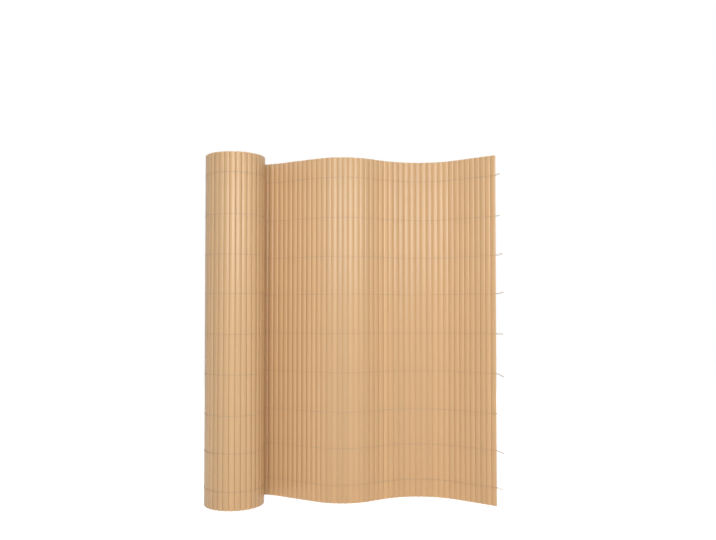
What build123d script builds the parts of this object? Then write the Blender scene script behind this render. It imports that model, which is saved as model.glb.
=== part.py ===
from build123d import *
import math
import os

# Privacy screen mat: hollow PVC slats stand side by side, bound by nylon threads in level rows.
# Most of the mat is rolled up, and the rest runs out of the back of the roll in a wave.
# Working frame in mm: roll axis on Z, slat ends on z = 0, free end towards +X, front towards -Y.

# One slat: a flat oval tube with two crowned faces
mat_height = 900.0
slat_pitch = 15.0
slat_gap = 0.4
slat_edge = 3.0  # thickness at the two long edges
slat_crown = 0.7  # rise of each face between its edges
slat_wall = 0.5

# How many slats lie in the roll, behind it, and in the open run
rolled_count = 148
hidden_count = 6
open_count = 46

# Roll, wound from its core outwards
core_radius = 34.0
turn_pitch = 7.0
leave_angle = 121.7  # where the mat leaves the roll, from +X

# Wave of the open run: three bends with straight runs between and after them
first_bend_radius = 146.0
first_bend_turn = 60.5
first_run = 120.0
second_bend_radius = 138.0
second_bend_turn = 61.5
second_run = 31.0
third_bend_radius = 187.0
third_bend_turn = 67.0

# Binding threads
thread_size = 1.2
thread_clearance = 0.3
thread_corner = 0.5  # smallest turn, in degrees, that makes a corner of its route
thread_start = 4  # slats past the roll where the front strand comes out of the nip
thread_wrap = 28  # slats of the outer turn that the rear strand goes over

# Thread rows from the bottom up: share of the mat's height, then the loose tail's reach and rise
thread_rows = [
    (0.052, 19.0, -1.8),
    (0.157, 22.0, -6.4),
    (0.261, 11.0, -8.0),
    (0.375, 23.0, -9.4),
    (0.488, 20.0, 0.0),
    (0.602, 22.0, 5.0),
    (0.712, 20.0, 4.0),
    (0.825, 11.0, 1.3),
    (0.942, 12.0, 3.3),
]

slat_width = slat_pitch - slat_gap
face_height = slat_edge / 2 + slat_crown
thread_height = face_height + thread_clearance + thread_size / 2


def heading_vector(angle):
    return Vector(math.cos(angle), math.sin(angle))


def roll_joints():
    """Meeting lines of the rolled slats in plan, from the core to where the mat leaves the roll."""
    radius = core_radius
    swept = 0.0
    spiral = [(radius, swept)]
    for _ in range(rolled_count):
        swept += slat_pitch / radius
        radius = core_radius + turn_pitch * swept / (2 * math.pi)
        spiral.append((radius, swept))
    start = math.radians(leave_angle) + swept
    return [heading_vector(start - angle) * reach for reach, angle in spiral]


def wave_joint(leave_point, length):
    """Point of the wave in plan at a length along it."""
    point = leave_point
    heading = math.radians(leave_angle - 90)
    stretches = [
        (first_bend_radius * math.radians(first_bend_turn), -1 / first_bend_radius),
        (first_run, 0),
        (second_bend_radius * math.radians(second_bend_turn), 1 / second_bend_radius),
        (second_run, 0),
        (third_bend_radius * math.radians(third_bend_turn), -1 / third_bend_radius),
        (math.inf, 0),
    ]
    for stretch, curvature in stretches:
        step = min(length, stretch)
        turn = step * curvature
        chord = 2 * math.sin(turn / 2) / curvature if curvature else step
        point += heading_vector(heading + turn / 2) * chord
        heading += turn
        length -= step
    return point


def side_normals(joints):
    """Unit vectors to the rear side of the mat at its joints, square to the slats on either side."""
    normals = []
    for index in range(len(joints)):
        before = joints[max(index - 1, 0)]
        after = joints[min(index + 1, len(joints) - 1)]
        normals.append((after - before).normalized().rotate(Axis.Z, 90))
    return normals


def slat_frame(joints, index):
    """Middle of a slat, its direction towards the free end and its normal to the rear."""
    along = (joints[index + 1] - joints[index]).normalized()
    return (joints[index] + joints[index + 1]) / 2, along, along.rotate(Axis.Z, 90)


def rolled_slats(joints):
    """Slats of the roll, fused edge to edge: one ridged wall, crowned on both sides."""
    normals = side_normals(joints)
    edges = []
    for side in (1, -1):
        shores = [joint + normal * (side * slat_edge / 2) for joint, normal in zip(joints, normals)]
        for index in range(len(joints) - 1):
            middle, _, normal = slat_frame(joints, index)
            crest = middle + normal * (side * face_height)
            edges.append(ThreePointArc(shores[index], crest, shores[index + 1]))
    for joint, normal in ((joints[0], normals[0]), (joints[-1], normals[-1])):
        edges.append(Line(joint - normal * (slat_edge / 2), joint + normal * (slat_edge / 2)))
    return extrude(make_face(edges), mat_height, dir=(0, 0, 1))


def slat_section():
    """Hollow section of one slat, its width along X."""
    half_width = slat_width / 2
    half_edge = slat_edge / 2
    rear = ThreePointArc((-half_width, half_edge), (0, face_height), (half_width, half_edge))
    front = ThreePointArc((-half_width, -half_edge), (0, -face_height), (half_width, -half_edge))
    left = Line((-half_width, -half_edge), (-half_width, half_edge))
    right = Line((half_width, -half_edge), (half_width, half_edge))
    outline = make_face([rear, front, left, right])
    return outline - offset(outline, -slat_wall, kind=Kind.INTERSECTION)


def open_slat(section, joints, index):
    middle, along, _ = slat_frame(joints, index)
    turn = math.degrees(math.atan2(along.Y, along.X))
    return extrude(Pos(middle.X, middle.Y) * Rot(Z=turn) * section, mat_height, dir=(0, 0, 1))


def strand(joints, first, last, side):
    """Route of a thread on one side of the mat: straight over each pair of slats, crest to crest."""
    runs = []
    for index in range(last - 2, first - 1, -2):
        crests = []
        for slat in (index, index + 1):
            middle, _, normal = slat_frame(joints, slat)
            crests.append(middle + normal * (side * thread_height))
        beyond = (crests[1] - crests[0]) / 2
        runs.insert(0, (crests[0] - beyond, crests[1] + beyond))
    corners = []
    for (start, stop), (next_start, next_stop) in zip(runs, runs[1:]):
        run = stop - start
        next_run = next_stop - next_start
        if run.get_angle(next_run) > thread_corner:
            share = (next_start - start).cross(next_run).Z / run.cross(next_run).Z
            corners.append(start + run * share)
    return [runs[0][0]] + corners + [runs[-1][1]]


def thread_end(joints):
    """Point where a thread goes round the free end of the mat."""
    _, along, _ = slat_frame(joints, len(joints) - 2)
    return joints[-1] + along * (thread_clearance + thread_size / 2)


def thread_route(joints):
    """Route of a thread in plan: front strand, round the end slat, rear strand and onto the roll."""
    last = len(joints) - 1
    _, along, normal = slat_frame(joints, last - 1)
    end = thread_end(joints)
    bend = normal * (slat_edge / 2 + thread_clearance)
    shoulder = along * (slat_crown + thread_size)
    front = strand(joints, rolled_count + thread_start, last, -1)
    rear = strand(joints, rolled_count - thread_wrap, last, 1)
    front[-1] -= shoulder
    rear[-1] -= shoulder
    return front + [end - bend, end + bend] + rear[::-1]


def thread_band(route):
    """Square thread along a route in plan, mitred at its corners."""
    runs = [(after - point).normalized() for point, after in zip(route, route[1:])]
    turns = [runs[0]] + [run + after for run, after in zip(runs, runs[1:])] + [runs[-1]]
    near = []
    far = []
    for point, turn, run in zip(route, turns, runs + runs[-1:]):
        across = turn.normalized().rotate(Axis.Z, 90)
        mitre = thread_size / 2 / across.dot(run.rotate(Axis.Z, 90))
        near.append(point + across * mitre)
        far.append(point - across * mitre)
    return extrude(make_face(Polyline(near + far[::-1], close=True)), thread_size / 2, both=True)


def binding_thread(band, joints, share, reach, rise):
    """One row's thread with its loose tail at the free end."""
    _, along, _ = slat_frame(joints, len(joints) - 2)
    tail = along * reach + Vector(0, 0, rise)
    section = Plane(thread_end(joints), z_dir=along) * Rectangle(thread_size, thread_size)
    return Pos(Z=mat_height * share) * (band + extrude(section, tail.length, dir=tail))


joints = roll_joints()
for step in range(1, hidden_count + open_count + 1):
    joints.append(wave_joint(joints[rolled_count], step * slat_pitch))

first_open = rolled_count + hidden_count
section = slat_section()
band = thread_band(thread_route(joints))

parts = {"rolled_slats": rolled_slats(joints[: first_open + 1])}
for number in range(open_count):
    parts[f"slat_{number + 1:02d}"] = open_slat(section, joints, first_open + number)
for number, (share, reach, rise) in enumerate(thread_rows):
    parts[f"binding_thread_{number + 1}"] = binding_thread(band, joints, share, reach, rise)

# The finished part stands with the middle of its footprint on the origin.
middle = Compound(list(parts.values())).bounding_box().center()
os.makedirs("parts", exist_ok=True)
for name, shape in parts.items():
    export_step(Pos(-middle.X, -middle.Y) * shape, f"parts/{name}.step")
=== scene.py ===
import math

import bpy
import numpy as np
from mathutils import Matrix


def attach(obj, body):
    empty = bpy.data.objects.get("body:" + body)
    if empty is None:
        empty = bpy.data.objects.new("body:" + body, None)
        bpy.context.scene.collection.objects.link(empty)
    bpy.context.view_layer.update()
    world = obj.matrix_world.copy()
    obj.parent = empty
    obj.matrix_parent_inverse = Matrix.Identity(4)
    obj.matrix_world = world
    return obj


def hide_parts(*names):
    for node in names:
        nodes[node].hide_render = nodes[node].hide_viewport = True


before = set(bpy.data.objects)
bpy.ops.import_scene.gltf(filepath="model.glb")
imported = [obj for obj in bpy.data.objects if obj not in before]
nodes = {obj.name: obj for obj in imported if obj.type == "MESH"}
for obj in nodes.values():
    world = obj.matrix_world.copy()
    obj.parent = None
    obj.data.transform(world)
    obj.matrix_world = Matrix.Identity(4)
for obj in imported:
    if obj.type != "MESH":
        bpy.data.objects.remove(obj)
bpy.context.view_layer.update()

sharpTurn = math.radians(60)  # edges that turn by more than this are shaded sharp
mixFirst, mixSecond, mixResult = 6, 7, 2  # colour sockets of a mix node


def linearColor(code):  # sRGB hex to linear RGBA
    parts = np.array([int(code[i:i + 2], 16) for i in (1, 3, 5)]) / 255
    flat = np.where(parts <= 0.04045, parts / 12.92, ((parts + 0.055) / 1.055) ** 2.4)
    return (*flat, 1.0)


def addNode(tree, kind, inputs=None, **settings):  # new shader node, inputs are values or sockets
    node = tree.nodes.new(kind)
    for name, value in settings.items():
        setattr(node, name, value)
    for name, value in (inputs or {}).items():
        if isinstance(value, bpy.types.NodeSocket):
            tree.links.new(value, node.inputs[name])
        else:
            node.inputs[name].default_value = value
    return node


def newMaterial(name):  # empty material, its tree and its output
    material = bpy.data.materials.new(name)
    material.use_nodes = True
    material.node_tree.nodes.clear()
    return material, material.node_tree, addNode(material.node_tree, "ShaderNodeOutputMaterial")


def nodePoints(name):  # vertices of a CAD node, in metres
    mesh = nodes[name].data
    points = np.empty(len(mesh.vertices) * 3)
    mesh.vertices.foreach_get("co", points)
    return points.reshape(-1, 3)


def gridFaces(count, rows, columns, closedRows):  # quads of stacked grids whose columns close on themselves
    spans = rows if closedRows else rows - 1
    block, row, column = np.meshgrid(np.arange(count), np.arange(spans), np.arange(columns), indexing="ij")
    nextRow = (row + 1) % rows
    nextColumn = (column + 1) % columns
    corners = [(row, column), (row, nextColumn), (nextRow, nextColumn), (nextRow, column)]
    return np.stack([(block * rows + r) * columns + c for r, c in corners], -1).reshape(-1, 4)


def addPiece(name, points, faces, material, replaced):  # mesh piece that stands in for a CAD node
    mesh = bpy.data.meshes.new(name)
    mesh.from_pydata(points.reshape(-1, 3).tolist(), [], faces)
    mesh.shade_smooth()
    mesh.set_sharp_from_angle(angle=sharpTurn)
    mesh.materials.append(material)
    piece = bpy.data.objects.new(name, mesh)
    bpy.context.scene.collection.objects.link(piece)
    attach(piece, "root")
    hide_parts(replaced)
    return piece


def setTone(piece, tones):  # one small tone step per slat, read by the slat material
    values = np.repeat(tones, len(piece.data.vertices) // len(tones)).astype(np.float32)
    piece.data.attributes.new("tone", "FLOAT", "POINT").data.foreach_set("value", values)


print("stage: materials")

pvc = {
    "tan": "#D6B082",
    "grainTan": "#CFA77A",
    "roughness": 0.27,
    "ior": 1.53,
    "toneStep": 0.03,  # usual difference in brightness between slats
    "grainWidth": 0.0012,
    "grainLength": 0.22,
    "grainDetail": 3.0,
    "bumpStrength": 0.15,
    "bumpDepth": 0.0001,
}


def makePvc():  # satin extruded plastic: soft highlights down each crown, faint streaks along the slat
    material, tree, output = newMaterial("extrudedPvc")
    place = addNode(tree, "ShaderNodeTexCoord").outputs["Object"]
    across, along = 1 / pvc["grainWidth"], 1 / pvc["grainLength"]
    stretched = addNode(tree, "ShaderNodeMapping", {"Vector": place, "Scale": (across, across, along)})
    grain = addNode(tree, "ShaderNodeTexNoise", {
        "Vector": stretched.outputs["Vector"],
        "Scale": 1.0,
        "Detail": pvc["grainDetail"],
    })
    mixed = addNode(tree, "ShaderNodeMix", {
        "Factor": grain.outputs["Fac"],
        mixFirst: linearColor(pvc["tan"]),
        mixSecond: linearColor(pvc["grainTan"]),
    }, data_type="RGBA")
    tone = addNode(tree, "ShaderNodeAttribute", attribute_name="tone").outputs["Fac"]
    level = addNode(tree, "ShaderNodeMath", {0: tone, 1: pvc["toneStep"], 2: 1.0}, operation="MULTIPLY_ADD")
    color = addNode(tree, "ShaderNodeVectorMath", {
        0: mixed.outputs[mixResult],
        "Scale": level.outputs[0],
    }, operation="SCALE")
    bump = addNode(tree, "ShaderNodeBump", {
        "Height": grain.outputs["Fac"],
        "Strength": pvc["bumpStrength"],
        "Distance": pvc["bumpDepth"],
    })
    shader = addNode(tree, "ShaderNodeBsdfPrincipled", {
        "Base Color": color.outputs[0],
        "Roughness": pvc["roughness"],
        "IOR": pvc["ior"],
        "Normal": bump.outputs["Normal"],
    })
    tree.links.new(shader.outputs[0], output.inputs["Surface"])
    return material


nylon = {
    "light": "#BA9F7E",
    "dark": "#A68D6E",
    "roughness": 0.5,
    "ior": 1.53,
    "fleck": 0.003,
    "bumpStrength": 0.3,
    "bumpDepth": 0.0001,
}


def makeNylon():  # dull twisted thread, a little darker than the slats, its twist drawn coarse as flecks
    material, tree, output = newMaterial("twistedNylon")
    place = addNode(tree, "ShaderNodeTexCoord").outputs["Object"]
    flecks = addNode(tree, "ShaderNodeTexNoise", {"Vector": place, "Scale": 1 / nylon["fleck"]})
    mixed = addNode(tree, "ShaderNodeMix", {
        "Factor": flecks.outputs["Fac"],
        mixFirst: linearColor(nylon["light"]),
        mixSecond: linearColor(nylon["dark"]),
    }, data_type="RGBA")
    bump = addNode(tree, "ShaderNodeBump", {
        "Height": flecks.outputs["Fac"],
        "Strength": nylon["bumpStrength"],
        "Distance": nylon["bumpDepth"],
    })
    shader = addNode(tree, "ShaderNodeBsdfPrincipled", {
        "Base Color": mixed.outputs[mixResult],
        "Roughness": nylon["roughness"],
        "IOR": nylon["ior"],
        "Normal": bump.outputs["Normal"],
    })
    tree.links.new(shader.outputs[0], output.inputs["Surface"])
    return material


slatPlastic = makePvc()
threadNylon = makeNylon()
rng = np.random.default_rng(seed=7)

print("stage: plan of the mat")

roll = {
    "slatPitch": 0.015,
    "coreRadius": 0.034,
    "turnPitch": 0.007,
    "leaveAngle": 121.7,  # where the mat leaves the roll, in degrees from +X
    "turnSlats": 148,
    "hiddenSlats": 6,  # behind the roll, on the first bend
    "bendRadius": 0.146,
}
openCount = sum(name.startswith("slat_") for name in nodes)


def rollJoints():  # meeting lines of the slats in plan, as x + iy: a spiral, then an arc to the right
    radius, swept = roll["coreRadius"], 0.0
    spiral = [(radius, swept)]
    for _ in range(roll["turnSlats"]):
        swept += roll["slatPitch"] / radius
        radius = roll["coreRadius"] + roll["turnPitch"] * swept / (2 * math.pi)
        spiral.append((radius, swept))
    radii, angles = np.array(spiral).T
    leave = math.radians(roll["leaveAngle"])
    turns = radii * np.exp(1j * (leave + swept - angles))
    bend = np.arange(1, roll["hiddenSlats"] + 2) * roll["slatPitch"] / roll["bendRadius"]
    chord = 2 * roll["bendRadius"] * np.sin(bend / 2)
    behind = turns[-1] + chord * np.exp(1j * (leave - math.pi / 2 - bend / 2))
    return np.concatenate([turns, behind])


def openFrames():  # centres and directions of the open slats in plan, and one slat's half sizes and height
    centres, alongs = [], []
    for number in range(1, openCount + 1):
        points = nodePoints(f"slat_{number:02d}")
        plan = points[:, 0] + 1j * points[:, 1]
        centre = (plan.real.max() + plan.real.min()) / 2 + 1j * (plan.imag.max() + plan.imag.min()) / 2
        along = np.exp(0.5j * np.angle(np.sum((plan - centre) ** 2)))  # longer axis of the section
        centres.append(centre)
        alongs.append(along)
    section = (plan - centre) / along
    sizes = (section.real.max(), section.imag.max(), points[:, 2].max())
    return np.array(centres), np.array(alongs), *sizes


joints = rollJoints()
rollCentres = (joints[1:] + joints[:-1]) / 2
rollAlongs = np.diff(joints) / np.abs(np.diff(joints))
openCentres, openAlongs, halfWidth, halfThickness, height = openFrames()
rollCentres = rollCentres + openCentres[0] - rollCentres[-1]  # the last one computed is the first open slat
rollCentres, rollAlongs = rollCentres[:-1], rollAlongs[:-1]
centres = np.concatenate([rollCentres, openCentres])
alongs = np.concatenate([rollAlongs, openAlongs])

print("stage: slats")

slat = {
    "wall": 0.0005,
    "fullness": 1.6,  # 2 is an ellipse, less is leaner
    "rolledGap": 0.0005,
    "openPoints": 32,
    "rolledPoints": 18,
    "endScatter": 0.0005,  # the cut ends are up to this much short
}


def ovalOutline(width, thickness, count):  # rounded oval: |u/w|^n + |v/t|^n = 1, as u + iv
    angle = 2 * math.pi * np.arange(count) / count
    power = 2 / slat["fullness"]
    u = np.sign(np.cos(angle)) * np.abs(np.cos(angle)) ** power
    v = np.sign(np.sin(angle)) * np.abs(np.sin(angle)) ** power
    return width * u + 1j * thickness * v


def slatGrid(centre, along, count, gap):  # tubes: outer wall up, over the cut end, inner wall down
    width = (roll["slatPitch"] - gap)[:, None] / 2
    outer = ovalOutline(width, halfThickness, count)
    inner = ovalOutline(width - slat["wall"], halfThickness - slat["wall"], count)
    section = np.stack([outer, outer, inner, inner], 1)
    plan = centre[:, None, None] + along[:, None, None] * section
    top = height - slat["endScatter"] * rng.random(len(centre))[:, None, None]
    level = np.broadcast_to(np.array([0, 1, 1, 0])[:, None] * top, section.shape)
    return np.stack([plan.real, plan.imag, level], -1)


def addRoll():  # tubes of the turns and of the stretch behind them, in one mesh
    count = len(rollCentres)
    gap = np.where(np.arange(count) < roll["turnSlats"], slat["rolledGap"], 0)  # slats past the roll touch
    points = slatGrid(rollCentres, rollAlongs, slat["rolledPoints"], gap)
    faces = gridFaces(*points.shape[:3], True).tolist()
    piece = addPiece("rolledOvalSlats", points, faces, slatPlastic, "rolled_slats")
    setTone(piece, rng.normal(size=count))


def addOpenSlats():  # a tube for each slat of the open run, edge to edge
    points = slatGrid(openCentres, openAlongs, slat["openPoints"], np.zeros(openCount))
    faces = gridFaces(1, *points.shape[1:3], True).tolist()
    tones = rng.normal(size=openCount)
    for index in range(openCount):
        node = f"slat_{index + 1:02d}"
        piece = addPiece(f"ovalSlat{index + 1:02d}", points[index], faces, slatPlastic, node)
        setTone(piece, tones[index:index + 1])


addRoll()
addOpenSlats()

print("stage: threads")

thread = {
    "radius": 0.0005,
    "dip": 0.0009,  # drop between two slats
    "samples": 5,  # points on each slat
    "sides": 6,
    "frontStart": 152,  # slat where the front strand comes out from behind the roll
    "rearStart": 120,  # slat of the outer turn where the rear strand stops
    "bightTurn": 60,  # half of its bend round the end slat, in degrees
    "bightPoints": 7,
    "bightDepth": 0.002,
    "bightSlack": 1.3,  # clear of the end slat, in thread radii
    "tailSpread": 0.0011,
    "tailShare": 0.88,
    "tailBow": 0.0012,
    "tailPoints": 9,
    "tipSlice": 0.00001,  # points this close to the furthest one are the tip
}


def strandPlan(first, side):  # over each crown at constant height, dipping by a cosine between slats
    step = (np.arange(thread["samples"]) + 0.5) / thread["samples"] - 0.5
    lift = halfThickness + thread["radius"] - thread["dip"] * (1 - np.cos(2 * math.pi * step)) / 2
    local = step * roll["slatPitch"] + 1j * side * lift
    return (centres[first:, None] + alongs[first:, None] * local).ravel()


def threadPlan():  # front strand, half an oval round the end slat, rear strand back onto the roll
    turn = np.radians(np.linspace(-thread["bightTurn"], thread["bightTurn"], thread["bightPoints"]))
    depth = thread["bightDepth"]
    reach = halfWidth - depth + (depth + thread["radius"] * thread["bightSlack"]) * np.cos(turn)
    rise = (halfThickness + thread["radius"]) * np.sin(turn)
    bight = centres[-1] + alongs[-1] * (reach + 1j * rise)
    frontStrand = strandPlan(thread["frontStart"], -1)
    rearStrand = strandPlan(thread["rearStart"], 1)
    return np.concatenate([frontStrand, bight, rearStrand[::-1]])


def tubeGrid(path, radius, sides):  # circle swept along a path that stays nearly level
    tangent = np.gradient(path, axis=0)
    tangent /= np.linalg.norm(tangent, axis=1, keepdims=True)
    left = np.cross([0, 0, 1], tangent)
    left /= np.linalg.norm(left, axis=1, keepdims=True)
    up = np.cross(tangent, left)
    angle = 2 * math.pi * np.arange(sides) / sides
    ring = left[:, None] * np.cos(angle)[:, None] + up[:, None] * np.sin(angle)[:, None]
    return path[:, None] + radius * ring


def tubeFaces(rows, sides, offset):  # wall of a tube and its two end caps
    wall = (gridFaces(1, rows, sides, False) + offset).tolist()
    first = offset + np.arange(sides)
    return wall + [first[::-1].tolist(), (first + (rows - 1) * sides).tolist()]


def tailPath(node, level, side):  # one of two loose ends: from the bight along the CAD tail, slightly bowed
    points = nodePoints(node)
    reach = ((points[:, 0] + 1j * points[:, 1] - centres[-1]) / alongs[-1]).real
    tip = points[reach > reach.max() - thread["tipSlice"]].mean(axis=0)
    plan = centres[-1] + alongs[-1] * halfWidth
    spread = side * thread["tailSpread"] / 2
    start = np.array([plan.real, plan.imag, level + spread])
    end = tip + [0, 0, spread]
    share = np.linspace(0, 1, thread["tailPoints"])[:, None]
    bow = rng.normal(size=3) * thread["tailBow"]
    return start + (end - start) * share * thread["tailShare"] + bow * np.sin(math.pi * share)


def addThreads():  # for each row, the strand and its two loose ends in one mesh
    plan = threadPlan()
    rows = sum(name.startswith("binding_thread_") for name in nodes)
    for row in range(1, rows + 1):
        node = f"binding_thread_{row}"
        points = nodePoints(node)
        level = points[points[:, 0] < 0, 2].mean()  # on the roll's half, away from the tail
        path = np.stack([plan.real, plan.imag, np.full(len(plan), level)], -1)
        paths = [path] + [tailPath(node, level, side) for side in (-1, 1)]
        tubes = [tubeGrid(path, thread["radius"], thread["sides"]) for path in paths]
        faces, offset = [], 0
        for tube in tubes:
            faces += tubeFaces(len(tube), thread["sides"], offset)
            offset += len(tube) * thread["sides"]
        addPiece(f"wovenThread{row}", np.concatenate(tubes), faces, threadNylon, node)


addThreads()

print("stage: floor, light and camera")

floor = {"half": 6.0, "white": 0.92, "cameraWhite": 0.3, "cameraGlow": 0.985}


def sharpRays(tree):  # 1 on rays that show the background itself: to the camera, in gloss, through glass
    path = addNode(tree, "ShaderNodeLightPath").outputs
    kinds = [path[f"Is {kind} Ray"] for kind in ("Camera", "Glossy", "Transmission")]
    straight = addNode(tree, "ShaderNodeMath", {0: kinds[0], 1: kinds[1]}, operation="MAXIMUM").outputs[0]
    return addNode(tree, "ShaderNodeMath", {0: straight, 1: kinds[2]}, operation="MAXIMUM").outputs[0]


def addFloor():  # pale floor: white to the camera, with the mat's soft shadow left on it
    material, tree, output = newMaterial("paleFloor")
    material.cycles.emission_sampling = "NONE"  # the glow is there to be seen and lights nothing
    bounce = addNode(tree, "ShaderNodeBsdfDiffuse", {"Color": (floor["white"],) * 3 + (1,)})
    shaded = addNode(tree, "ShaderNodeBsdfDiffuse", {"Color": (floor["cameraWhite"],) * 3 + (1,)})
    glow = addNode(tree, "ShaderNodeEmission", {"Color": (1, 1, 1, 1), "Strength": floor["cameraGlow"]})
    whole = addNode(tree, "ShaderNodeAddShader", {0: shaded.outputs[0], 1: glow.outputs[0]})
    shown = {0: sharpRays(tree), 1: bounce.outputs[0], 2: whole.outputs[0]}
    mixed = addNode(tree, "ShaderNodeMixShader", shown)
    tree.links.new(mixed.outputs[0], output.inputs["Surface"])
    half = floor["half"]
    corners = [(-half, -half, 0), (half, -half, 0), (half, half, 0), (-half, half, 0)]
    mesh = bpy.data.meshes.new("floor")
    mesh.from_pydata(corners, [], [(0, 1, 2, 3)])
    mesh.materials.append(material)
    plane = bpy.data.objects.new("floor", mesh)
    bpy.context.scene.collection.objects.link(plane)


sky = {"fill": 0.05, "cameraWhite": 1.0}


def addSky():  # even fill light from all round, plain white behind the mat
    world = bpy.data.worlds.new("studio")
    bpy.context.scene.world = world
    world.use_nodes = True
    tree = world.node_tree
    tree.nodes.clear()
    span = sky["cameraWhite"] - sky["fill"]
    levels = {0: sharpRays(tree), 1: span, 2: sky["fill"]}
    strength = addNode(tree, "ShaderNodeMath", levels, operation="MULTIPLY_ADD")
    back = addNode(tree, "ShaderNodeBackground", {"Color": (1, 1, 1, 1), "Strength": strength.outputs[0]})
    target = addNode(tree, "ShaderNodeOutputWorld")
    tree.links.new(back.outputs[0], target.inputs["Surface"])


key = {"place": (0.25, -2.6, 1.1), "aim": (0, 0, 0.6), "size": (2.0, 0.7), "power": 25.4, "glints": True}
fill = {"place": (0, -3.4, 0.45), "aim": (0, 0, 0.45), "size": (2.0, 0.8), "power": 50.0, "glints": False}
rear = {"place": (0, 2.6, 1.1), "aim": (0, 0, 0.5), "size": (3.2, 1.0), "power": 58.0, "glints": False}
overhead = {"place": (0, 0, 2.6), "aim": (0, 0, 0), "size": (2.0, 2.0), "power": 18.0, "glints": False}


def addSoftbox(name, box):  # rectangular lamp, unseen by the camera, and without glints unseen in gloss too
    light = bpy.data.lights.new(name, "AREA")
    light.shape = "RECTANGLE"
    light.size, light.size_y = box["size"]
    light.energy = box["power"]
    lamp = bpy.data.objects.new(name, light)
    lamp.location = box["place"]
    lamp.visible_camera = False
    lamp.visible_glossy = box["glints"]
    away = np.array(box["place"]) - np.array(box["aim"])
    tilt = math.atan2(math.hypot(away[0], away[1]), away[2])
    lamp.rotation_euler = (tilt, 0, math.atan2(away[0], -away[1]))
    bpy.context.scene.collection.objects.link(lamp)


camera = {
    "place": (0.0126, -1.829, 0.4947),
    "pitchUp": 1.349,
    "lens": 35.086,
    "sensor": 36,
    "shiftUp": 0.036,
}


def addCamera():  # fitted to the mat's edges in the photo
    lens = bpy.data.cameras.new("camera")
    lens.lens = camera["lens"]
    lens.sensor_width = camera["sensor"]
    lens.shift_y = camera["shiftUp"]
    body = bpy.data.objects.new("camera", lens)
    body.location = camera["place"]
    body.rotation_euler = (math.radians(90 + camera["pitchUp"]), 0, 0)
    bpy.context.scene.collection.objects.link(body)
    bpy.context.scene.camera = body


addFloor()
addSky()
addSoftbox("keySoftbox", key)
addSoftbox("fillSoftbox", fill)
addSoftbox("rearSoftbox", rear)
addSoftbox("overheadSoftbox", overhead)
addCamera()
bpy.context.scene.view_settings.view_transform = "Standard"
